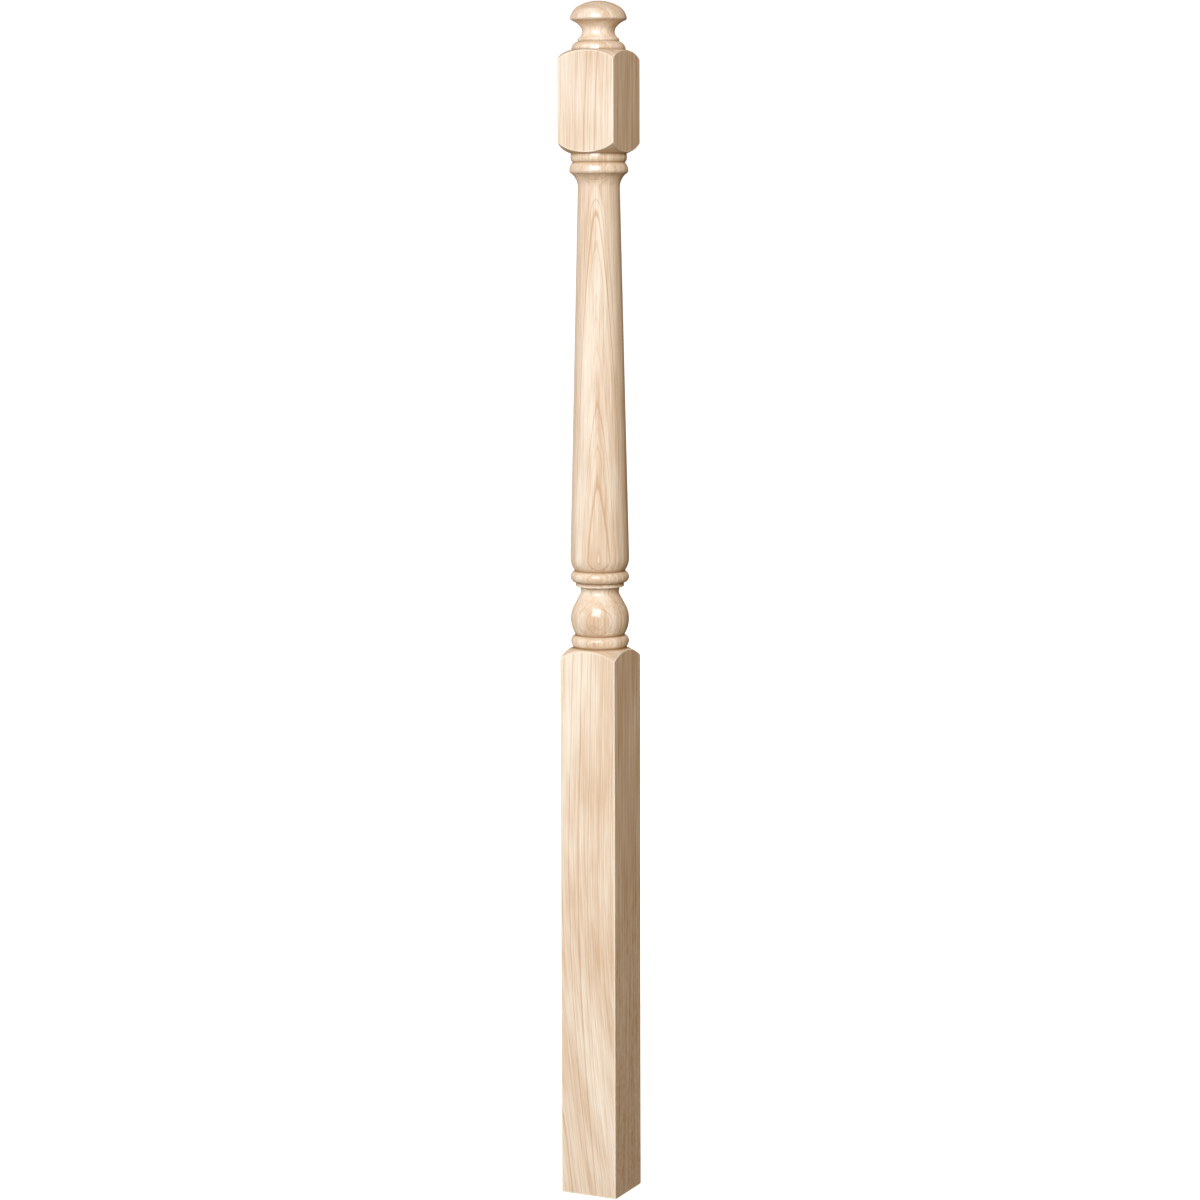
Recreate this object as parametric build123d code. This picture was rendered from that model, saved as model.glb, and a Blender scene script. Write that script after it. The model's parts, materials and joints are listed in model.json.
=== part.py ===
from build123d import *
import os
from math import asin, cos, degrees, radians, sin, sqrt, tan

# Starting newel post, turned from one length of square stock, in millimetres.
# The post stands on Z = 0 with its axis on the Z axis and its faces square to X and Y.
# The turned members are listed in the order in which they stack up from the floor.

# Square stock
STOCK_WIDTH = 76.2
ARRIS_FLAT = 0.4                # what is sanded off the long edges of both square blocks

# Lower block, left square, and the turned shoulder that takes its corners off
LOWER_BLOCK_LENGTH = 686.6      # floor to the tips of the corners
LOWER_SHOULDER_HEIGHT = 13.4
LOWER_SHOULDER_BULGE = 1.0

# Bead between the lower block and the vase
LOWER_BEAD_FOOT_DIAMETER = 66.0
LOWER_BEAD_DIAMETER = 72.9
LOWER_BEAD_BELOW_CREST = 8.4
LOWER_BEAD_ABOVE_CREST = 7.2

# Vase: a ball that runs up a straight flank into a narrow throat
VASE_FOOT_DIAMETER = 61.0
VASE_BALL_DIAMETER = 72.9
VASE_FLANK_ANGLE = 28.3         # degrees that the flank leans in
VASE_THROAT_ARC = 7.0
VASE_THROAT_DIAMETER = 47.5

# Square-edged ring over the throat, and the bead that sits on it
RING_DIAMETER = 60.2
RING_HEIGHT = 4.7
RING_SEAT_DIAMETER = 52.0       # where the throat's cove runs in under the ring
THROAT_TO_RING = 6.6
VASE_BEAD_DIAMETER = 72.9
VASE_BEAD_BELOW_CREST = 7.2
VASE_BEAD_ABOVE_CREST = 7.8

# Tapered shaft, rolled in at its foot and flared into the collar at its top
SHAFT_GROOVE_DIAMETER = 62.3
SHAFT_ROLL_HEIGHT = 16.6
SHAFT_FOOT_DIAMETER = 73.2
SHAFT_LENGTH = 458.4
SHAFT_TOP_DIAMETER = 51.8
SHAFT_FLARE_HEIGHT = 16.6

# Collar: a lopsided bead, a groove and a low band under the upper block
COLLAR_CREASE_DIAMETER = 66.6
COLLAR_BEAD_DIAMETER = 72.7
COLLAR_BEAD_BELOW_CREST = 4.2
COLLAR_BEAD_UNDER_BULGE = 0.57  # a shade flatter than a quarter round
COLLAR_BEAD_ABOVE_CREST = 10.0
COLLAR_GROOVE_DIAMETER = 64.4
COLLAR_BAND_DIAMETER = 69.6
COLLAR_BAND_BELOW_CREST = 5.7
COLLAR_BAND_ABOVE_CREST = 5.0
COLLAR_BAND_TOP_DIAMETER = 68.6

# Upper block, left square, which takes the handrail
BLOCK_LOWER_SHOULDER_HEIGHT = 13.4
BLOCK_LOWER_SHOULDER_BULGE = 1.0
BLOCK_CORNER_LENGTH = 100.4
BLOCK_UPPER_SHOULDER_HEIGHT = 12.5
BLOCK_UPPER_SHOULDER_BULGE = 2.0

# Cap: ovolo, fillet, throat, flare and dome
OVOLO_DIAMETER = 66.8
OVOLO_HEIGHT = 10.0
CAP_FILLET_DIAMETER = 51.0
CAP_FILLET_HEIGHT = 3.4
CAP_FILLET_TO_THROAT = 8.55
CAP_THROAT_DIAMETER = 40.1
CAP_THROAT_ARC = 9.0
CAP_THROAT_SWEEP = 38.0         # degrees of the throat's arc before it opens into the flare
CAP_THROAT_TO_EDGE = 13.9
CAP_EDGE_DIAMETER = 67.8
CAP_RIM_DIAMETER = 69.9
CAP_EDGE_TO_RIM = 1.75
CAP_RIM_TO_TOP = 21.75
DOME_ARC = 50.5
DOME_DIAMETER = 54.0            # where the dome turns over into the cap's side
CAP_SIDE_BULGE = 1.65

# Widest the stock can be when it spins: across its corners
SWING_RADIUS = STOCK_WIDTH / sqrt(2)

# The vase's heights follow from its ball, its flank and its throat
flank_lean = radians(VASE_FLANK_ANGLE)
ball_radius = VASE_BALL_DIAMETER / 2
foot_to_ball = sqrt(ball_radius**2 - (VASE_FOOT_DIAMETER / 2) ** 2)
flank_foot_radius = ball_radius * cos(flank_lean)
flank_top_radius = VASE_THROAT_DIAMETER / 2 + VASE_THROAT_ARC * (1 - cos(flank_lean))
flank_height = (flank_foot_radius - flank_top_radius) / tan(flank_lean)

# Levels, each stacked on the one before it
lower_shoulder_z = LOWER_BLOCK_LENGTH
lower_bead_z = lower_shoulder_z + LOWER_SHOULDER_HEIGHT
lower_crest_z = lower_bead_z + LOWER_BEAD_BELOW_CREST
vase_foot_z = lower_crest_z + LOWER_BEAD_ABOVE_CREST
ball_z = vase_foot_z + foot_to_ball
flank_foot_z = ball_z + ball_radius * sin(flank_lean)
flank_top_z = flank_foot_z + flank_height
throat_z = flank_top_z + VASE_THROAT_ARC * sin(flank_lean)
ring_z = throat_z + THROAT_TO_RING
vase_bead_z = ring_z + RING_HEIGHT
vase_crest_z = vase_bead_z + VASE_BEAD_BELOW_CREST
groove_z = vase_crest_z + VASE_BEAD_ABOVE_CREST
shaft_foot_z = groove_z + SHAFT_ROLL_HEIGHT
shaft_top_z = shaft_foot_z + SHAFT_LENGTH
crease_z = shaft_top_z + SHAFT_FLARE_HEIGHT
collar_crest_z = crease_z + COLLAR_BEAD_BELOW_CREST
collar_groove_z = collar_crest_z + COLLAR_BEAD_ABOVE_CREST
band_crest_z = collar_groove_z + COLLAR_BAND_BELOW_CREST
block_z = band_crest_z + COLLAR_BAND_ABOVE_CREST
block_corner_z = block_z + BLOCK_LOWER_SHOULDER_HEIGHT
block_corner_top_z = block_corner_z + BLOCK_CORNER_LENGTH
ovolo_z = block_corner_top_z + BLOCK_UPPER_SHOULDER_HEIGHT
fillet_z = ovolo_z + OVOLO_HEIGHT
fillet_top_z = fillet_z + CAP_FILLET_HEIGHT
cap_throat_z = fillet_top_z + CAP_FILLET_TO_THROAT
cap_edge_z = cap_throat_z + CAP_THROAT_TO_EDGE
cap_rim_z = cap_edge_z + CAP_EDGE_TO_RIM
top_z = cap_rim_z + CAP_RIM_TO_TOP

UP = (0, 1)
DOWN = (0, -1)


def at(diameter, z):
    """A point of the half-profile: radius across, height up."""
    return (diameter / 2, z)


def crest(below, top, above):
    """Two round sides that meet upright at the widest or narrowest place of a member."""
    return [TangentArc(top, below, tangent=DOWN), TangentArc(top, above, tangent=UP)]


def lower_block():
    """Half the foot, the side of the spinning stock and the shoulder that cuts in from it."""
    side = (SWING_RADIUS, lower_shoulder_z)
    return [
        Line((0, 0), (SWING_RADIUS, 0)),
        Line((SWING_RADIUS, 0), side),
        SagittaArc(side, at(LOWER_BEAD_FOOT_DIAMETER, lower_bead_z), -LOWER_SHOULDER_BULGE),
    ]


def lower_bead():
    return crest(
        at(LOWER_BEAD_FOOT_DIAMETER, lower_bead_z),
        at(LOWER_BEAD_DIAMETER, lower_crest_z),
        at(VASE_FOOT_DIAMETER, vase_foot_z),
    )


def vase():
    """Zone of a ball, the flank that leaves it, the throat and the square-edged ring over it."""
    foot_angle = -degrees(asin(foot_to_ball / ball_radius))
    flank_top = (flank_top_radius, flank_top_z)
    throat = at(VASE_THROAT_DIAMETER, throat_z)
    seat = at(RING_SEAT_DIAMETER, ring_z)
    return [
        CenterArc((0, ball_z), ball_radius, foot_angle, VASE_FLANK_ANGLE - foot_angle),
        Line((flank_foot_radius, flank_foot_z), flank_top),
        TangentArc(throat, flank_top, tangent=DOWN),
        TangentArc(throat, seat, tangent=UP),
        Line(seat, at(RING_DIAMETER, ring_z)),
        Line(at(RING_DIAMETER, ring_z), at(RING_DIAMETER, vase_bead_z)),
    ]


def vase_bead():
    return crest(
        at(RING_DIAMETER, vase_bead_z),
        at(VASE_BEAD_DIAMETER, vase_crest_z),
        at(SHAFT_GROOVE_DIAMETER, groove_z),
    )


def shaft():
    """A straight taper, with a roll and a flare that start off along it."""
    foot = at(SHAFT_FOOT_DIAMETER, shaft_foot_z)
    top = at(SHAFT_TOP_DIAMETER, shaft_top_z)
    along = (top[0] - foot[0], top[1] - foot[1])
    back = (-along[0], -along[1])
    return [
        TangentArc(foot, at(SHAFT_GROOVE_DIAMETER, groove_z), tangent=back),
        Line(foot, top),
        TangentArc(top, at(COLLAR_CREASE_DIAMETER, crease_z), tangent=along),
    ]


def collar():
    bead_crest = at(COLLAR_BEAD_DIAMETER, collar_crest_z)
    bead = [
        SagittaArc(bead_crest, at(COLLAR_CREASE_DIAMETER, crease_z), COLLAR_BEAD_UNDER_BULGE),
        TangentArc(bead_crest, at(COLLAR_GROOVE_DIAMETER, collar_groove_z), tangent=UP),
    ]
    band = crest(
        at(COLLAR_GROOVE_DIAMETER, collar_groove_z),
        at(COLLAR_BAND_DIAMETER, band_crest_z),
        at(COLLAR_BAND_TOP_DIAMETER, block_z),
    )
    return bead + band


def upper_block():
    """The spinning stock between the two shoulders of the upper block."""
    low = (SWING_RADIUS, block_corner_z)
    high = (SWING_RADIUS, block_corner_top_z)
    return [
        SagittaArc(at(COLLAR_BAND_TOP_DIAMETER, block_z), low, -BLOCK_LOWER_SHOULDER_BULGE),
        Line(low, high),
        SagittaArc(high, at(OVOLO_DIAMETER, ovolo_z), -BLOCK_UPPER_SHOULDER_BULGE),
    ]


def cap_neck():
    """Ovolo and fillet, then a tight throat that opens into a flatter flare."""
    fillet = at(CAP_FILLET_DIAMETER, fillet_z)
    fillet_top = at(CAP_FILLET_DIAMETER, fillet_top_z)
    throat = at(CAP_THROAT_DIAMETER, cap_throat_z)
    opening = JernArc(throat, UP, CAP_THROAT_ARC, -CAP_THROAT_SWEEP)
    return [
        TangentArc(at(OVOLO_DIAMETER, ovolo_z), fillet, tangent=UP),
        Line(fillet, fillet_top),
        TangentArc(throat, fillet_top, tangent=DOWN),
        opening,
        TangentArc(opening @ 1, at(CAP_EDGE_DIAMETER, cap_edge_z), tangent=opening % 1),
    ]


def cap_dome():
    """Bevelled rim, a side that leans in, and a shallow dome that is level at the top."""
    rim = at(CAP_RIM_DIAMETER, cap_rim_z)
    dome_drop = DOME_ARC - sqrt(DOME_ARC**2 - (DOME_DIAMETER / 2) ** 2)
    dome_edge = at(DOME_DIAMETER, top_z - dome_drop)
    return [
        Line(at(CAP_EDGE_DIAMETER, cap_edge_z), rim),
        SagittaArc(dome_edge, rim, CAP_SIDE_BULGE),
        TangentArc((0, top_z), dome_edge, tangent=(1, 0)),
        Line((0, top_z), (0, 0)),
    ]


def turned_blank():
    """What the lathe would leave of a round blank as wide as the stock's corners."""
    edges = lower_block() + lower_bead() + vase() + vase_bead() + shaft() + collar()
    edges += upper_block() + cap_neck() + cap_dome()
    return revolve(Plane.XZ * make_face(edges), axis=Axis.Z)


def square_stock():
    """The square length that goes into the lathe, with its long edges eased."""
    square = Rectangle(STOCK_WIDTH, STOCK_WIDTH)
    return extrude(chamfer(square.vertices(), ARRIS_FLAT), amount=top_z)


def newel_post():
    """What the two have in common: round where it was turned, square where it was left."""
    return turned_blank() & square_stock()


os.makedirs("parts", exist_ok=True)
export_step(newel_post(), "parts/newel_post.step")
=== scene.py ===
# %% [markdown]
# A starting newel post is the first, heaviest post of a stair. This one is turned from one
# length of square pine: two lengths are left square, and all that lies between them and
# above them is round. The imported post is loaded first, so that the new model can be held
# to its box.

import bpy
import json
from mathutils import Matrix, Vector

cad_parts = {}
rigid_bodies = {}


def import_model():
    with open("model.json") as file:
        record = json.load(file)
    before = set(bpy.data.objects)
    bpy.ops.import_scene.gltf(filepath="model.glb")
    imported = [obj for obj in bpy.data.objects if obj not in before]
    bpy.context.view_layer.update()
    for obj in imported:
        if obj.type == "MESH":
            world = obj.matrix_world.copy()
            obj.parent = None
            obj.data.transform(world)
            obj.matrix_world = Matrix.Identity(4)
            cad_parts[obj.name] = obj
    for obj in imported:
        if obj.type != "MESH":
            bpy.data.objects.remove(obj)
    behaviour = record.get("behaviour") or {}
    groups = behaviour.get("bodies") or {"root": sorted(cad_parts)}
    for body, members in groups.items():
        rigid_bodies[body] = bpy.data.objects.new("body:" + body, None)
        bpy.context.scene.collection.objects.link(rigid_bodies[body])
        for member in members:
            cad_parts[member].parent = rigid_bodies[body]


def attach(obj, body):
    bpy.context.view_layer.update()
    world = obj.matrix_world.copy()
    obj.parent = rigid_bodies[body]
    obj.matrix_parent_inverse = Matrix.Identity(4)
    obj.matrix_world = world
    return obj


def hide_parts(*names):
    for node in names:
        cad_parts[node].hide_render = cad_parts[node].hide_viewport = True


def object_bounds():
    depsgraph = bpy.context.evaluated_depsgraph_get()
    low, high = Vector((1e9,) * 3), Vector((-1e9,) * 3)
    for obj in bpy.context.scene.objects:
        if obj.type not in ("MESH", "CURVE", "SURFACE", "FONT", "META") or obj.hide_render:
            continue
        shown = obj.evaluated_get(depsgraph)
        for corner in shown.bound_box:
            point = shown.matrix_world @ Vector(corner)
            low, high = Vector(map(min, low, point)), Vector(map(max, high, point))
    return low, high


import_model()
cad_low, cad_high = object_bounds()
print("packed post from", tuple(cad_low), "to", tuple(cad_high))

# %% [markdown]
# Blender starts with a cube, a lamp and a camera of its own. They could stay hidden, but a
# clean scene is easier to follow. Nothing is left selected, because an operator acts on
# all that is selected.

# %% Clear the starting scene
import bpy
import json
from math import atan, atan2, ceil, cos, degrees, pi, radians, sin, tan
from mathutils import Vector

for thing in list(bpy.context.scene.objects):
    if thing.name in {"Cube", "Light", "Camera"}:
        bpy.data.objects.remove(thing)
bpy.ops.object.select_all(action="DESELECT")

# %% [markdown]
# A turner works from a half-profile: the line that the gouge follows down one side.
# It could be drawn as a curve, but a chain of points that is extruded in edit mode keeps
# every straight and every arc under a size of its own. A pen holds the place of the last
# point. A straight is one extrusion of it, and an arc is one spin of it about its centre.

# %% The pen, and straights
pen = Vector((0, 0))            # radius across, height up


def start_profile(name):
    """One vertex on the post's axis at floor level: a small plane, merged to its middle."""
    bpy.ops.mesh.primitive_plane_add(size=0.01, location=(0, 0, 0))
    bpy.context.object.name = name
    bpy.ops.object.mode_set(mode="EDIT")
    bpy.ops.mesh.select_all(action="SELECT")
    bpy.ops.mesh.merge(type="CENTER")
    return bpy.context.object


def cut_straight(diameter, rise):
    """Carry the profile on in a straight line to a new diameter."""
    step = Vector((diameter / 2 - pen.x, rise))
    bpy.ops.mesh.extrude_region_move(TRANSFORM_OT_translate={"value": (step.x, 0, step.y)})
    pen.xy = pen + step


print("the pen stands at", tuple(pen))

# %% [markdown]
# An arc needs its two ends and one thing more. On a bead or a cove that is the heading at
# its widest or narrowest place, where the wood runs straight up. On a shoulder it is how
# far the arc stands out from a straight line.

# %% Arcs and crisp corners
UP = Vector((0, 1))
ARC_STEP = radians(6)           # how far one facet of an arc turns at most
FEWEST_FACETS = 4               # a short arc has this many all the same
crisp_corners = []


def turn_between(before, after):
    """Angle from one heading to the next, positive to the left."""
    return atan2(before.x * after.y - before.y * after.x, before.dot(after))


def cut_round(diameter, rise, leave=None, arrive=None, bulge=0.0):
    """Carry the profile on in an arc that leaves or arrives along a heading, or bulges."""
    chord = Vector((diameter / 2 - pen.x, rise))
    turn = 4 * atan(2 * bulge / chord.length)
    if leave:
        turn = 2 * turn_between(leave, chord)
    if arrive:
        turn = 2 * turn_between(chord, arrive)
    to_centre = Vector((-chord.y, chord.x)) / (2 * tan(turn / 2))
    centre = pen + chord / 2 + to_centre
    steps = max(FEWEST_FACETS, ceil(abs(turn) / ARC_STEP))
    bpy.ops.mesh.spin(steps=steps, angle=turn, center=(centre.x, 0, centre.y), axis=(0, 1, 0))
    pen.xy = pen + chord


def leave_crisp():
    """Note this corner of the profile: sandpaper takes its sharpness off later."""
    crisp_corners.append(pen.copy())


print("one facet to every", round(degrees(ARC_STEP), 1), "degrees of an arc, or finer")

# %% [markdown]
# The lower block is the stock itself, so on the lathe its side is wherever the corners
# spin. The profile runs a hair outside them, and is planed back to the real stock later.
# Above it the gouge rolls in from the corners, which leaves the round-headed faces that
# every turned post has, and then the first bead. The post stays a few thousandths of a
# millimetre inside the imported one's box, so that no rounding puts a corner past it.

# %% Lower block, its shoulder and the bead over it
keep_inside = 0.000005
stock_width = cad_high.x - cad_low.x - 2 * keep_inside
post_height = cad_high.z - keep_inside
swing_spare = 0.0006
blank_diameter = stock_width * 2**0.5 + swing_spare
lower_block_length = 0.6866
lower_shoulder_height = 0.0134
lower_shoulder_bulge = 0.0012
lower_bead_foot = 0.0660
lower_bead_diameter = 0.0729
lower_bead_below = 0.0084
lower_bead_above = 0.0072
vase_foot = 0.0610

newel_post = start_profile("newel_post_turned")
cut_straight(blank_diameter, 0)
cut_straight(blank_diameter, lower_block_length)
cut_round(lower_bead_foot, lower_shoulder_height, bulge=lower_shoulder_bulge)
cut_round(lower_bead_diameter, lower_bead_below, arrive=UP)
cut_round(vase_foot, lower_bead_above, leave=UP)
print("top of the lower bead at", round(pen.y, 4))

# %% [markdown]
# The vase is a ball that runs up a straight flank into a narrow throat. Its ball is
# centred on the axis, so the height where the flank leaves it follows from the lean of
# the flank. A square-edged ring and a second bead close it.

# %% Vase, ring and upper bead
ball_diameter = 0.0729
flank_lean = radians(28.3)
throat_diameter = 0.0475
throat_arc = 0.0070
throat_to_ring = 0.0066
ring_seat = 0.0520
ring_diameter = 0.0602
ring_height = 0.0047
vase_bead_diameter = 0.0729
vase_bead_below = 0.0072
vase_bead_above = 0.0078
shaft_groove = 0.0623

flank = Vector((-sin(flank_lean), cos(flank_lean)))
foot_to_ball = (ball_diameter**2 - vase_foot**2) ** 0.5 / 2
flank_foot = ball_diameter * cos(flank_lean)
flank_top = throat_diameter + 2 * throat_arc * (1 - cos(flank_lean))
flank_height = (flank_foot - flank_top) / 2 / tan(flank_lean)

cut_round(flank_foot, foot_to_ball + ball_diameter / 2 * sin(flank_lean), arrive=flank)
cut_straight(flank_top, flank_height)
cut_round(throat_diameter, throat_arc * sin(flank_lean), arrive=UP)
cut_round(ring_seat, throat_to_ring, leave=UP)
cut_straight(ring_diameter, 0)
leave_crisp()
cut_straight(ring_diameter, ring_height)
cut_round(vase_bead_diameter, vase_bead_below, arrive=UP)
cut_round(shaft_groove, vase_bead_above, leave=UP)
print("groove under the shaft at", round(pen.y, 4))

# %% [markdown]
# The shaft is a plain taper. Its foot rolls in to the groove and its top flares out to
# the collar, and both arcs start off along the taper, so no line shows where they meet.

# %% Shaft
shaft_roll_height = 0.0166
shaft_foot = 0.0732
shaft_length = 0.4584
shaft_top = 0.0518
shaft_flare_height = 0.0166
collar_crease = 0.0666

taper = Vector(((shaft_top - shaft_foot) / 2, shaft_length)).normalized()
cut_round(shaft_foot, shaft_roll_height, arrive=taper)
cut_straight(shaft_top, shaft_length)
cut_round(collar_crease, shaft_flare_height, leave=taper)
print("crease under the collar at", round(pen.y, 4))

# %% [markdown]
# The collar is a lopsided bead, high on its upper side, then a groove and a low band. The
# upper block follows with a shoulder at each end: it is where the handrail is fixed.

# %% Collar and upper block
collar_bead = 0.0727
collar_bead_below = 0.0042
collar_bead_under = radians(66)         # how far the bead's short lower side turns
collar_bead_above = 0.0100
collar_groove = 0.0644
collar_band = 0.0696
collar_band_below = 0.0057
collar_band_above = 0.0050
collar_band_top = 0.0686
block_lower_shoulder = 0.0134
block_lower_bulge = 0.0014
block_corner_length = 0.1004
block_upper_shoulder = 0.0125
block_upper_bulge = 0.0020
ovolo_diameter = 0.0668

under_side = Vector(((collar_bead - collar_crease) / 2, collar_bead_below))
under_bulge = under_side.length / 2 * tan(collar_bead_under / 4)
cut_round(collar_bead, collar_bead_below, bulge=under_bulge)
cut_round(collar_groove, collar_bead_above, leave=UP)
cut_round(collar_band, collar_band_below, arrive=UP)
cut_round(collar_band_top, collar_band_above, leave=UP)
cut_round(blank_diameter, block_lower_shoulder, bulge=block_lower_bulge)
cut_straight(blank_diameter, block_corner_length)
cut_round(ovolo_diameter, block_upper_shoulder, bulge=block_upper_bulge)
print("top of the upper block at", round(pen.y, 4))

# %% [markdown]
# The cap is a small urn: ovolo, fillet, a tight throat that opens into a flatter flare, a
# thin bevelled rim and a shallow dome. The dome arrives level, so that its middle doesn't
# come to a point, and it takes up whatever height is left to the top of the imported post.

# %% Cap
LEVEL = Vector((-1, 0))
ovolo_height = 0.0100
cap_fillet = 0.0510
cap_fillet_height = 0.0034
fillet_to_throat = 0.00855
cap_throat = 0.0401
cap_throat_arc = 0.0090
cap_throat_sweep = radians(38)
throat_to_edge = 0.0139
cap_edge = 0.0678
cap_rim = 0.0699
edge_to_rim = 0.00175
dome_arc = 0.0505
dome_diameter = 0.0540
cap_side_bulge = 0.00165

cut_round(cap_fillet, ovolo_height, leave=UP)
cut_straight(cap_fillet, cap_fillet_height)
leave_crisp()
cut_round(cap_throat, fillet_to_throat, arrive=UP)
opening = Vector((sin(cap_throat_sweep), cos(cap_throat_sweep)))
opened = cap_throat + 2 * cap_throat_arc * (1 - cos(cap_throat_sweep))
opening_rise = cap_throat_arc * sin(cap_throat_sweep)
cut_round(opened, opening_rise, leave=UP)
cut_round(cap_edge, throat_to_edge - opening_rise, leave=opening)
leave_crisp()
cut_straight(cap_rim, edge_to_rim)
leave_crisp()
dome_drop = dome_arc - (dome_arc**2 - dome_diameter**2 / 4) ** 0.5
cut_round(dome_diameter, post_height - dome_drop - pen.y, bulge=cap_side_bulge)
cut_round(0, dome_drop, arrive=LEVEL)
print("top of the cap at", round(pen.y, 4), "with", len(crisp_corners), "crisp corners")

# %% [markdown]
# No corner of a sanded post is a knife edge. The few outer corners of the profile are
# rounded while it is still a line: there a bevel of single points is quick and exact.

# %% Take the sharpness off the crisp corners
sanded_radius = 0.0005
close = 0.00001                 # points nearer than this count as one

bpy.ops.mesh.select_all(action="DESELECT")
bpy.ops.object.mode_set(mode="OBJECT")
for vertex in newel_post.data.vertices:
    spot = Vector((vertex.co.x, vertex.co.z))
    vertex.select = any((spot - corner).length < close for corner in crisp_corners)
softened = sum(vertex.select for vertex in newel_post.data.vertices)
bpy.ops.object.mode_set(mode="EDIT")
bpy.ops.mesh.bevel(offset=sanded_radius, segments=3, affect="VERTICES")
print("corners softened:", softened)

# %% [markdown]
# One spin of the whole line about the post's axis is the lathe. The spin ends where it
# began and every point of the axis is doubled, so doubles are merged before the normals
# are made to point outwards.

# %% Turn the blank
lathe_steps = 192

bpy.ops.mesh.select_all(action="SELECT")
bpy.ops.mesh.spin(steps=lathe_steps, angle=2 * pi, center=(0, 0, 0), axis=(0, 0, 1))
bpy.ops.mesh.select_all(action="SELECT")
bpy.ops.mesh.remove_doubles(threshold=close)
bpy.ops.mesh.normals_make_consistent(inside=False)
bpy.ops.object.mode_set(mode="OBJECT")
print("turned blank:", len(newel_post.data.polygons), "faces")

# %% [markdown]
# The four sides of the stock cut the round blank back to a square, and where they meet a
# shoulder they leave its arched edge by themselves. A Boolean with a box would do it too,
# but a bisect per side keeps clean edges. Three more cuts at each corner ease the arris.

# %% Plane the sides and ease the arrises
half_width = stock_width / 2
arris_radius = 0.0008
arris_cuts = 3


def plane_off(angle, distance):
    """Cut away all that lies beyond a plane that faces this way, and close the cut."""
    facing = Vector((cos(angle), sin(angle), 0))
    bpy.ops.mesh.select_all(action="SELECT")
    bpy.ops.mesh.bisect(
        plane_co=facing * distance,
        plane_no=facing,
        use_fill=True,
        clear_outer=True,
        threshold=close,
    )


bpy.ops.object.mode_set(mode="EDIT")
for side in range(4):
    plane_off(side * pi / 2, half_width)
for corner in range(4):
    for cut in range(1, arris_cuts + 1):
        lean = cut * pi / 2 / (arris_cuts + 1)
        reach = (half_width - arris_radius) * (cos(lean) + sin(lean)) + arris_radius
        plane_off(corner * pi / 2 + lean, reach)
bpy.ops.object.mode_set(mode="OBJECT")
print("planed:", len(newel_post.data.polygons), "faces")

# %% [markdown]
# Smooth shading up to 30 degrees keeps the turned surfaces round and the creases sharp.
# The planed faces are huge beside the slivers at their edges, so normals weighted by area
# keep them flat right up to the arris.

# %% Shade the turned and planed surfaces
crease_angle = radians(30)

bpy.ops.object.shade_smooth_by_angle(angle=crease_angle)
weighted = newel_post.modifiers.new("flat_faces_stay_flat", "WEIGHTED_NORMAL")
weighted.keep_sharp = True
bpy.ops.object.modifier_apply(modifier=weighted.name)
triangles = sum(len(face.vertices) - 2 for face in newel_post.data.polygons)
print("triangles:", triangles)

# %% [markdown]
# Pine is drawn by its growth rings: wide pale springwood that darkens slowly to a thin
# line of latewood and then starts again. A picture of wood could be wrapped round the
# post, but then the lines wouldn't match at the edges. Here the rings are cylinders about
# a pith line behind the post, so every face cuts them as a saw or a gouge would: straight
# lines on the blocks, nested arches up the taper and ovals on the vase.
# Each effect is a node group, built once, with its values given where it is used. Small
# helpers keep the groups readable: each adds a few nodes and hands on their output.

# %% Helpers for one step of a group
def calculate(tree, operation, *values):
    """One Math node. Each value is a number or another node's output."""
    step = tree.nodes.new("ShaderNodeMath")
    step.operation = operation
    for socket, value in zip(step.inputs, values):
        if isinstance(value, bpy.types.NodeSocket):
            tree.links.new(value, socket)
        else:
            socket.default_value = value
    return step.outputs[0]


def ramp(tree, value, low, high):
    """A mask that eases from 0 to 1 while the value goes from low to high."""
    step = tree.nodes.new("ShaderNodeMapRange")
    step.interpolation_type = "SMOOTHSTEP"
    tree.links.new(value, step.inputs["Value"])
    step.inputs["From Min"].default_value = low
    step.inputs["From Max"].default_value = high
    return step.outputs["Result"]


def fade_out(tree, value, low, high):
    """The same ramp the other way: 1 below, 0 above."""
    return calculate(tree, "SUBTRACT", 1.0, ramp(tree, value, low, high))


print("single steps ready")

# %% [markdown]
# Most of what makes wood look grown is soft noise, stretched far along the trunk and
# squeezed across it. One helper gives noise over the place on the post, with its waves to
# the metre in each direction, and one gives it along a single number.

# %% Helpers for noise
def drift(tree, place, waves, detail, offset):
    """Soft noise around zero, with so many waves to the metre along X, Y and Z."""
    squeeze = tree.nodes.new("ShaderNodeVectorMath")
    squeeze.operation = "MULTIPLY"
    tree.links.new(place, squeeze.inputs[0])
    squeeze.inputs[1].default_value = waves
    step = tree.nodes.new("ShaderNodeTexNoise")
    step.noise_dimensions = "4D"
    step.inputs["Scale"].default_value = 1.0
    step.inputs["Detail"].default_value = detail
    step.inputs["W"].default_value = offset
    tree.links.new(squeeze.outputs[0], step.inputs["Vector"])
    return calculate(tree, "SUBTRACT", step.outputs[0], 0.5)


def ripple(tree, value, waves, detail):
    """Soft noise from 0 to 1 along one number, such as the count of rings."""
    step = tree.nodes.new("ShaderNodeTexNoise")
    step.noise_dimensions = "1D"
    step.inputs["Scale"].default_value = waves
    step.inputs["Detail"].default_value = detail
    tree.links.new(value, step.inputs["W"])
    return step.outputs[0]


print("noise ready")

# %% [markdown]
# Near the ground a trunk spreads into its butt, and the grain at the post's foot leans out
# with it. The rings and the fibres both need to know how deep in the butt they are.

# %% Helpers for the butt and for whole groups
BUTT_CURVE = 1.7                # above 1, the trunk spreads mostly near the ground


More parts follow.
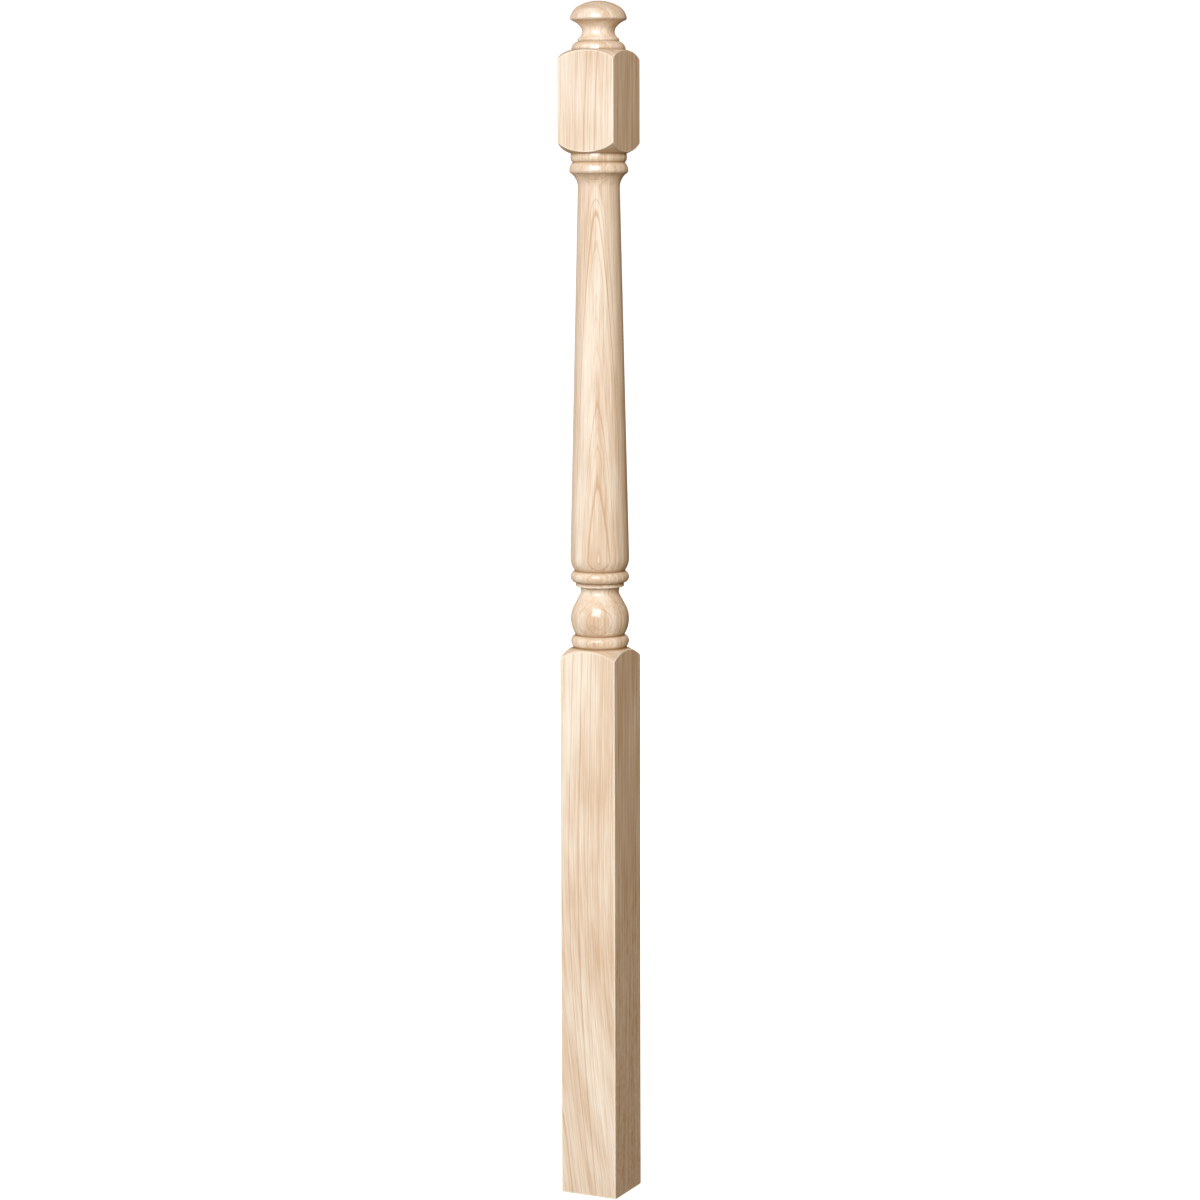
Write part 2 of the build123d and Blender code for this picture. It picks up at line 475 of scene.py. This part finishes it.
def share_of_butt(tree, height, butt_height):
    """How deep in the butt a height lies: 1 at the floor, 0 above the butt."""
    share = calculate(tree, "SUBTRACT", 1.0, calculate(tree, "DIVIDE", height, butt_height))
    return calculate(tree, "POWER", calculate(tree, "MAXIMUM", share, 0.0), BUTT_CURVE)


def start_group(name, inputs, outputs):
    """A node group that takes the place on the post and named numbers, and gives numbers."""
    tree = bpy.data.node_groups.new(name, "ShaderNodeTree")
    tree.interface.new_socket("Place", in_out="INPUT", socket_type="NodeSocketVector")
    for label in inputs:
        tree.interface.new_socket(label, in_out="INPUT", socket_type="NodeSocketFloat")
    for label in outputs:
        tree.interface.new_socket(label, in_out="OUTPUT", socket_type="NodeSocketFloat")
    given = tree.nodes.new("NodeGroupInput").outputs
    result = tree.nodes.new("NodeGroupOutput").inputs
    return tree, given, result


print("group helpers ready")

# %% [markdown]
# The first thing to know at any spot is how far it lies from the pith, the thin core that
# the rings grow round. The pith needn't run straight up the post, so its place is worked
# out at each height.

# %% Growth rings: how far from the pith
rings, given, result = start_group(
    "growth_rings",
    [
        "Pith X",
        "Pith Y",
        "Lean X",
        "Lean Y",
        "Ring Width",
        "Wander",
        "Flicker",
        "Ridge",
        "Butt Flare",
        "Butt Height",
    ],
    ["Latewood", "Season"],
)
place = given["Place"]
parts = rings.nodes.new("ShaderNodeSeparateXYZ")
rings.links.new(place, parts.inputs[0])
height = parts.outputs["Z"]
pith_x = calculate(rings, "MULTIPLY_ADD", height, given["Lean X"], given["Pith X"])
pith_y = calculate(rings, "MULTIPLY_ADD", height, given["Lean Y"], given["Pith Y"])
away_x = calculate(rings, "SUBTRACT", parts.outputs["X"], pith_x)
away_y = calculate(rings, "SUBTRACT", parts.outputs["Y"], pith_y)
square_y = calculate(rings, "MULTIPLY", away_y, away_y)
squares = calculate(rings, "MULTIPLY_ADD", away_x, away_x, square_y)
from_pith = calculate(rings, "SQRT", squares)
print("growth_rings has", len(given) - 1, "inputs")

# %% [markdown]
# No tree is straight. Broad noise makes the rings wander, quick noise makes each line
# flicker a little, and the butt pushes them outwards at the post's foot. Moving the
# distance does all three, and a ring stays one unbroken surface through the wood.

# %% Growth rings: wander, flicker and butt
wander = drift(rings, place, waves=(12, 12, 3.4), detail=1.0, offset=3.0)
bent = calculate(rings, "MULTIPLY_ADD", wander, given["Wander"], from_pith)
flicker = drift(rings, place, waves=(90, 90, 8), detail=3.0, offset=8.0)
bent = calculate(rings, "MULTIPLY_ADD", flicker, given["Flicker"], bent)
butt = share_of_butt(rings, height, given["Butt Height"])
spread = calculate(rings, "MULTIPLY", butt, given["Butt Flare"])
bent = calculate(rings, "SUBTRACT", bent, spread)
print("growth_rings:", len(rings.nodes), "nodes")

# %% [markdown]
# Where a gouge runs round the shaft it cuts the rings in nested arches. Plain cylinders
# would give them round tops, but on real pine the tops are drawn out to a point, like a
# flame. So the distance is raised in a narrow ridge, along the line of the post that
# lies farthest from the pith. How far a spot lies to the side of that line, times the
# pith's distance, is a cross product, which needs no angle. The ridge fades out below the
# vase, where the flat faces cut straight lines, and so it does under the upper block. It
# fades out on the pith's side too, where it would only dent the ovals.

# %% Growth rings: pointed arches
pith_distance = 0.15            # from the pith to the post's middle
ridge_side = 0.008              # how far to each side the ridge falls away
ridge_tip = 0.002               # how far to each side its top is round
ridge_starts = (0.700, 0.717)   # heights, across the lower bead
ridge_ends = (1.23, 1.27)       # heights, at the top of the taper
ridge_front = (0.14, 0.16)      # distances from the pith, through the post's middle

first_product = calculate(rings, "MULTIPLY", away_y, pith_x)
second_product = calculate(rings, "MULTIPLY", away_x, pith_y)
aside = calculate(rings, "SUBTRACT", first_product, second_product)
aside = calculate(rings, "MULTIPLY", aside, aside)
aside = calculate(rings, "ADD", aside, (ridge_tip * pith_distance) ** 2)
aside = calculate(rings, "SQRT", aside)
fall_off = calculate(rings, "DIVIDE", aside, -ridge_side * pith_distance)
ridge = calculate(rings, "EXPONENT", fall_off)
ridge = calculate(rings, "MULTIPLY", ridge, ramp(rings, height, *ridge_starts))
ridge = calculate(rings, "MULTIPLY", ridge, fade_out(rings, height, *ridge_ends))
ridge = calculate(rings, "MULTIPLY", ridge, ramp(rings, from_pith, *ridge_front))
bent = calculate(rings, "MULTIPLY_ADD", ridge, given["Ridge"], bent)
print("growth_rings:", len(rings.nodes), "nodes")

# %% [markdown]
# The distance counted in ring widths gives the number of the ring and the place within
# it. Good years and bad ones shift that count, so that the widths vary. Within a
# ring the wood darkens slowly and ends sharply, and each ring is dark by a chance of its
# own, which its number draws. Seasons run over several rings and tint them together.

# %% Growth rings: latewood and seasons
year_shift = 2.4                # by how many rings the count may be shifted
darkening = (0.52, 0.90)        # where in a ring the latewood sets in and is full
late_start = 1.6                # above 1, the darkening starts more slowly
ring_end = (0.88, 1.0)          # where in a ring it breaks off
faintest_ring = 0.25
chance_curve = 1.5              # above 1, more rings are faint than strong

count = calculate(rings, "DIVIDE", bent, given["Ring Width"])
years = ripple(rings, count, waves=0.37, detail=1.0)
count = calculate(rings, "MULTIPLY_ADD", years, year_shift, count)
within = calculate(rings, "FRACT", count)
rise = calculate(rings, "POWER", ramp(rings, within, *darkening), late_start)
line = calculate(rings, "MULTIPLY", rise, fade_out(rings, within, *ring_end))
chance = rings.nodes.new("ShaderNodeTexWhiteNoise")
chance.noise_dimensions = "1D"
rings.links.new(calculate(rings, "FLOOR", count), chance.inputs["W"])
drawn = calculate(rings, "POWER", chance.outputs["Value"], chance_curve)
strength = calculate(rings, "MULTIPLY_ADD", drawn, 1.0 - faintest_ring, faintest_ring)
rings.links.new(calculate(rings, "MULTIPLY", line, strength), result["Latewood"])
seasons = ripple(rings, count, waves=0.08, detail=3.0)
rings.links.new(calculate(rings, "SUBTRACT", seasons, 0.5), result["Season"])
print("growth_rings:", len(rings.nodes), "nodes")

# %% [markdown]
# Between the rings pine shows its fibres: hair-thin streaks that run up the post, broader
# bands, and soft clouds of tone. All three are the same noise with other stretches. They
# lean out with the butt, or the foot would look as if it came from another tree.

# %% Fibres
fibres, given, result = start_group(
    "wood_fibre",
    ["Fineness", "Butt Sway", "Butt Height"],
    ["Hair", "Band", "Cloud"],
)
parts = fibres.nodes.new("ShaderNodeSeparateXYZ")
fibres.links.new(given["Place"], parts.inputs[0])
butt = share_of_butt(fibres, parts.outputs["Z"], given["Butt Height"])
sway = calculate(fibres, "MULTIPLY", butt, given["Butt Sway"])
swayed = fibres.nodes.new("ShaderNodeCombineXYZ")
fibres.links.new(calculate(fibres, "SUBTRACT", parts.outputs["X"], sway), swayed.inputs["X"])
fibres.links.new(parts.outputs["Y"], swayed.inputs["Y"])
fibres.links.new(parts.outputs["Z"], swayed.inputs["Z"])
place = swayed.outputs[0]
fine = fibres.nodes.new("ShaderNodeVectorMath")
fine.operation = "SCALE"
fibres.links.new(place, fine.inputs[0])
fibres.links.new(given["Fineness"], fine.inputs["Scale"])
hair = drift(fibres, fine.outputs[0], waves=(1.0, 0.5, 0.02), detail=3.0, offset=1.0)
band = drift(fibres, place, waves=(30, 170, 6), detail=3.0, offset=5.0)
cloud = drift(fibres, place, waves=(14, 50, 4), detail=2.0, offset=7.0)
for label, streaks in (("Hair", hair), ("Band", band), ("Cloud", cloud)):
    fibres.links.new(streaks, result[label])
print("wood_fibre:", len(fibres.nodes), "nodes")

# %% [markdown]
# Where the gouge cuts across the fibres, on shoulders, fillets and the dome, their open
# ends soak up light and look darker. A mask could be painted by hand, but how far the
# surface faces up or down says the same, because the fibres run up the post.

# %% End grain
pore_waves = 1500
pore_depth = 0.8

end_grain, given, result = start_group("end_grain", ["Reach"], ["Mask"])
surface = end_grain.nodes.new("ShaderNodeTexCoord")
facing = end_grain.nodes.new("ShaderNodeSeparateXYZ")
end_grain.links.new(surface.outputs["Normal"], facing.inputs[0])
upright = calculate(end_grain, "ABSOLUTE", facing.outputs["Z"])
mask = calculate(end_grain, "POWER", upright, given["Reach"])
pores = drift(end_grain, given["Place"], waves=(pore_waves,) * 3, detail=2.0, offset=2.0)
speckle = calculate(end_grain, "MULTIPLY_ADD", pores, pore_depth, 1.0)
end_grain.links.new(calculate(end_grain, "MULTIPLY", mask, speckle), result["Mask"])
print("end_grain:", len(end_grain.nodes), "nodes")

# %% [markdown]
# The post is sold sanded and bare, with the sheen that a sharp gouge leaves on pale pine.
# The wood itself is dull, and a thin coat over it gives the crisp highlights on the beads
# without making it look varnished. The groups are placed here, with this post's values.
# Seen from the camera the pith stands straight behind the post, so the side of the vase
# that faces the camera shows its ovals whole.

# %% Bare pine: the material and its groups
pine = bpy.data.materials.new("bare_pine")
pine.use_nodes = True
sheet = pine.node_tree
shader = sheet.nodes["Principled BSDF"]
shader.inputs["Roughness"].default_value = 0.6
shader.inputs["Coat Roughness"].default_value = 0.165
shader.inputs["Coat IOR"].default_value = 1.7
where = sheet.nodes.new("ShaderNodeTexCoord")
pith_beside_vase = Vector((-0.06071, 0.13766))
vase_height = 0.7325
pith_lean = 0.03
butt_height = 0.45


def place_group(tree, **values):
    """A group node in the material, fed with the place on the post and its own values."""
    step = sheet.nodes.new("ShaderNodeGroup")
    step.node_tree = tree
    sheet.links.new(where.outputs["Object"], step.inputs["Place"])
    for label, value in values.items():
        step.inputs[label.replace("_", " ")].default_value = value
    return step.outputs


ring_marks = place_group(
    rings,
    Pith_X=pith_beside_vase.x - pith_lean * vase_height,
    Pith_Y=pith_beside_vase.y,
    Lean_X=pith_lean,
    Lean_Y=0.0,
    Ring_Width=0.0016,
    Wander=0.0035,
    Flicker=0.0007,
    Ridge=0.0018,
    Butt_Flare=0.014,
    Butt_Height=butt_height,
)
fibre_marks = place_group(fibres, Fineness=720.0, Butt_Sway=0.05, Butt_Height=butt_height)
end_marks = place_group(end_grain, Reach=1.5)
print("groups placed:", len(sheet.nodes), "nodes")

# %% [markdown]
# All marks of the grain lie between two colours, pale springwood and latewood, so they
# are added up to one depth first and mixed once. The open ends are tinted over that.

# %% Bare pine: the grain's colour
springwood = (0.955, 0.85, 0.735, 1.0)
latewood = (0.67, 0.45, 0.285, 1.0)
open_ends = (0.72, 0.51, 0.31, 1.0)
plain_depth = 0.445             # how deep the tone is where no mark shows
end_tint = 0.3


def blend_colour(amount, first, second):
    """Two colours mixed by a mask. Each is a fixed colour or another node's output."""
    step = sheet.nodes.new("ShaderNodeMix")
    step.data_type = "RGBA"
    sockets = (step.inputs[0], step.inputs[6], step.inputs[7])      # its factor and two colours
    for socket, value in zip(sockets, (amount, first, second)):
        if isinstance(value, bpy.types.NodeSocket):
            sheet.links.new(value, socket)
        else:
            socket.default_value = value
    return step.outputs[2]


depth = plain_depth
for mark, share in (
    (ring_marks["Latewood"], 0.66),
    (ring_marks["Season"], -0.15),
    (fibre_marks["Hair"], 1.4),
    (fibre_marks["Band"], 1.9),
    (fibre_marks["Cloud"], 0.2),
):
    depth = calculate(sheet, "MULTIPLY_ADD", mark, share, depth)
colour = blend_colour(depth, springwood, latewood)
end_depth = calculate(sheet, "MULTIPLY", end_marks["Mask"], end_tint)
colour = blend_colour(end_depth, colour, open_ends)
print("grain coloured:", len(sheet.nodes), "nodes")

# %% [markdown]
# Shade is painted into the creases between the members, darker than the lamps make them,
# and a highlight is painted along the edges. Both could be painted as a map, but how closed
# in a spot is says where they go: other wood close in front of it makes a crease, and air
# close behind it makes an edge.
# Where the round wood turns away from the eye the photo has a fine darker rim.

# %% Bare pine: painted shade in creases and rim, painted highlight on edges
# the colour of the painted shade, in the creases and along the outline
painted_shade = (0.40, 0.25, 0.13, 1.0)
# the colour of the painted highlight along the outer edges
painted_highlight = (1.0, 0.90, 0.78, 1.0)
crease_shade_reach = 0.005
crease_shade_strength = 2.0
edge_highlight_reach = 0.0026
edge_highlight_strength = 2.2
rim_narrowness = 5.0


def closed_in(distance, behind):
    """How closed in a spot is: by other wood in front of it, or by the air behind it."""
    step = sheet.nodes.new("ShaderNodeAmbientOcclusion")
    step.samples = 8
    step.only_local = True
    step.inside = behind
    step.inputs["Distance"].default_value = distance
    return calculate(sheet, "SUBTRACT", 1.0, step.outputs["AO"])


# painted shade: the creases are darkened towards that colour
painted_crease_shade = calculate(sheet, "MULTIPLY", closed_in(crease_shade_reach, behind=False), crease_shade_strength)
colour = blend_colour(painted_crease_shade, colour, painted_shade)
# painted highlight: the outer edges are lightened towards that colour
painted_edge_highlight = calculate(sheet, "MULTIPLY", closed_in(edge_highlight_reach, behind=True), edge_highlight_strength)
colour = blend_colour(painted_edge_highlight, colour, painted_highlight)
# painted shade: a fine dark rim where the round wood turns away from the eye
view = sheet.nodes.new("ShaderNodeLayerWeight")
view.inputs["Blend"].default_value = 0.5
painted_rim_shade = calculate(sheet, "POWER", view.outputs["Facing"], rim_narrowness)
colour = blend_colour(painted_rim_shade, colour, painted_shade)
sheet.links.new(colour, shader.inputs["Base Color"])
print("edges and creases coloured:", len(sheet.nodes), "nodes")

# %% [markdown]
# A smooth coat mirrors more and more as it turns away from the eye, until the post's
# outline glares white. Bare wood doesn't, because its fibres scatter that light, so both
# the coat and the plain sheen are faded out before the outline.

# %% Bare pine: sheen
sheen_fades = (0.3, 0.6)        # from square on, 0, to edge on, 1
full_coat = 0.88
full_sheen = 0.25

square_on = fade_out(sheet, view.outputs["Facing"], *sheen_fades)
coat = calculate(sheet, "MULTIPLY", square_on, full_coat)
sheet.links.new(coat, shader.inputs["Coat Weight"])
sheen = calculate(sheet, "MULTIPLY", square_on, full_sheen)
sheet.links.new(sheen, shader.inputs["Specular IOR Level"])
print("sheen done:", len(sheet.nodes), "nodes")

# %% [markdown]
# Latewood is harder than springwood, so sanding leaves it a shade proud, and fibres stand
# up a little. That relief is finer than a hair, far too fine for the mesh, so it is a bump.

# %% Bare pine: relief
latewood_relief = 0.6           # beside the relief of the fibres, which is 1

relief = calculate(
    sheet,
    "MULTIPLY_ADD",
    ring_marks["Latewood"],
    latewood_relief,
    fibre_marks["Hair"],
)
bump = sheet.nodes.new("ShaderNodeBump")
bump.inputs["Strength"].default_value = 0.06
bump.inputs["Distance"].default_value = 0.0002
sheet.links.new(relief, bump.inputs["Height"])
sheet.links.new(bump.outputs["Normal"], shader.inputs["Normal"])
newel_post.data.materials.clear()
newel_post.data.materials.append(pine)
print("bare_pine:", len(sheet.nodes), "nodes")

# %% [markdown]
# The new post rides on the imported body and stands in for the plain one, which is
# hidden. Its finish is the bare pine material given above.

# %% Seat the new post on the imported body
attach(newel_post, "root")
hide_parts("newel_post")
new_low, new_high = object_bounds()
print("new post from", tuple(new_low), "to", tuple(new_high))

# %% [markdown]
# A catalogue picture like this one is taken in front of white paper. Stronger lamps would
# burn the paper out to white, but the pale wood with it. So the floor glows a little of
# its own instead, least under the post, where it keeps a breath of shadow, and it throws
# no light back on to the post.

# %% Floor
floor_size = 40.0

bpy.ops.mesh.primitive_plane_add(size=floor_size, location=(0, 0, 0))
floor = bpy.context.object
floor.name = "studio_floor"
paper = bpy.data.materials.new("white_paper")
paper.use_nodes = True
paper_tree = paper.node_tree
paper_shader = paper_tree.nodes["Principled BSDF"]
paper_shader.inputs["Base Color"].default_value = (0.9, 0.9, 0.9, 1.0)
paper_shader.inputs["Roughness"].default_value = 1.0
paper_shader.inputs["Emission Color"].default_value = (1.0, 1.0, 1.0, 1.0)
floor_place = paper_tree.nodes.new("ShaderNodeTexCoord")
far_off = paper_tree.nodes.new("ShaderNodeVectorMath")
far_off.operation = "LENGTH"
paper_tree.links.new(floor_place.outputs["Object"], far_off.inputs[0])
glow = paper_tree.nodes.new("ShaderNodeMapRange")
glow.inputs["From Min"].default_value = 0.05
glow.inputs["From Max"].default_value = 0.6
glow.inputs["To Min"].default_value = 0.8
glow.inputs["To Max"].default_value = 1.1
paper_tree.links.new(far_off.outputs["Value"], glow.inputs["Value"])
paper_tree.links.new(glow.outputs["Result"], paper_shader.inputs["Emission Strength"])
floor.data.materials.append(paper)
floor.visible_diffuse = False
floor.visible_glossy = False
print("floor", floor_size, "m across")

# %% [markdown]
# Behind the floor the world is white too, but only to the camera. White light from all
# round would flatten the post, so everything else feels a faint warm glow instead, which
# keeps the wood's shadows from going grey.

# %% World
world = bpy.data.worlds.new("white_studio")
bpy.context.scene.world = world
world.use_nodes = True
sky = world.node_tree
sky.nodes.clear()
seen = sky.nodes.new("ShaderNodeBackground")
seen.inputs["Color"].default_value = (1.0, 1.0, 1.0, 1.0)
seen.inputs["Strength"].default_value = 1.1
felt = sky.nodes.new("ShaderNodeBackground")
felt.inputs["Color"].default_value = (1.0, 0.5, 0.15, 1.0)
felt.inputs["Strength"].default_value = 0.07
ray = sky.nodes.new("ShaderNodeLightPath")
pick = sky.nodes.new("ShaderNodeMixShader")
out = sky.nodes.new("ShaderNodeOutputWorld")
sky.links.new(ray.outputs["Is Camera Ray"], pick.inputs["Fac"])
sky.links.new(felt.outputs[0], pick.inputs[1])
sky.links.new(seen.outputs[0], pick.inputs[2])
sky.links.new(pick.outputs[0], out.inputs["Surface"])
bpy.context.scene.view_settings.view_transform = "Standard"
print("world:", len(sky.nodes), "nodes")

# %% [markdown]
# The highlights on the beads say where the light stood: one big soft box, to the left of
# the camera and above it. It is the only lamp that the wood mirrors, so each bead keeps
# one highlight. A low box reaches under the beads, a card on either side lifts the right
# face and the left edge, and a box behind lights the views from the back.

# %% Soft boxes
aim = Vector((0, 0, post_height / 2))


def soft_box(name, direction, distance, size, power, colour, mirrored=False):
    """A rectangular lamp that faces the middle of the post from so many degrees round and up."""
    turn, climb = (radians(angle) for angle in direction)
    back = Vector((sin(turn) * cos(climb), -cos(turn) * cos(climb), sin(climb)))
    lamp = bpy.data.lights.new(name, "AREA")
    lamp.shape = "RECTANGLE"
    lamp.size, lamp.size_y = size
    lamp.energy = power
    lamp.color = colour
    box = bpy.data.objects.new(name, lamp)
    bpy.context.scene.collection.objects.link(box)
    box.location = aim + back * distance
    box.rotation_euler = back.to_track_quat("Z", "Y").to_euler()
    box.visible_camera = False
    box.visible_glossy = mirrored


soft_box(
    "key_box",
    direction=(9.5, 29),
    distance=5.2,
    size=(3.1, 3.0),
    power=245,
    colour=(0.74, 0.845, 0.98),
    mirrored=True,
)
soft_box(
    "low_box",
    direction=(9.5, -14),
    distance=2.2,
    size=(1.6, 0.4),
    power=14,
    colour=(1.0, 0.94, 0.75),
)
soft_box(
    "right_card",
    direction=(50, 32),
    distance=5.0,
    size=(3.0, 3.0),
    power=98,
    colour=(1.0, 0.82, 0.53),
)
soft_box(
    "left_card",
    direction=(-75, 10),
    distance=4.0,
    size=(2.0, 3.0),
    power=78,
    colour=(1.0, 0.96, 0.88),
)
soft_box(
    "back_box",
    direction=(200, 25),
    distance=5.0,
    size=(3.0, 3.0),
    power=290,
    colour=(1.0, 0.98, 0.95),
)

# %% [markdown]
# The camera stands to the right of the post's front, a little lower than the cap, and
# looks slightly down, so that the top and the foot both just reach the picture's edge. A
# shifted lens would keep the post's sides upright to a hair, but a tilted one keeps the
# post in the middle when it is looked at from other sides.

# %% Camera
camera_azimuth = radians(25.78)
camera_distance = 4.03
camera_height = 1.258
camera_tilt = radians(7.062)
camera_roll = radians(0.154)

lens = bpy.data.cameras.new("photo_camera")
lens.lens = 97.23
lens.sensor_width = 36.0
camera = bpy.data.objects.new("photo_camera", lens)
bpy.context.scene.collection.objects.link(camera)
camera.location = (
    camera_distance * sin(camera_azimuth),
    -camera_distance * cos(camera_azimuth),
    camera_height,
)
camera.rotation_euler = (pi / 2 - camera_tilt, 0, camera_azimuth)
camera.rotation_euler.rotate_axis("Z", -camera_roll)
bpy.context.scene.camera = camera
print("camera at", tuple(round(value, 3) for value in camera.location))
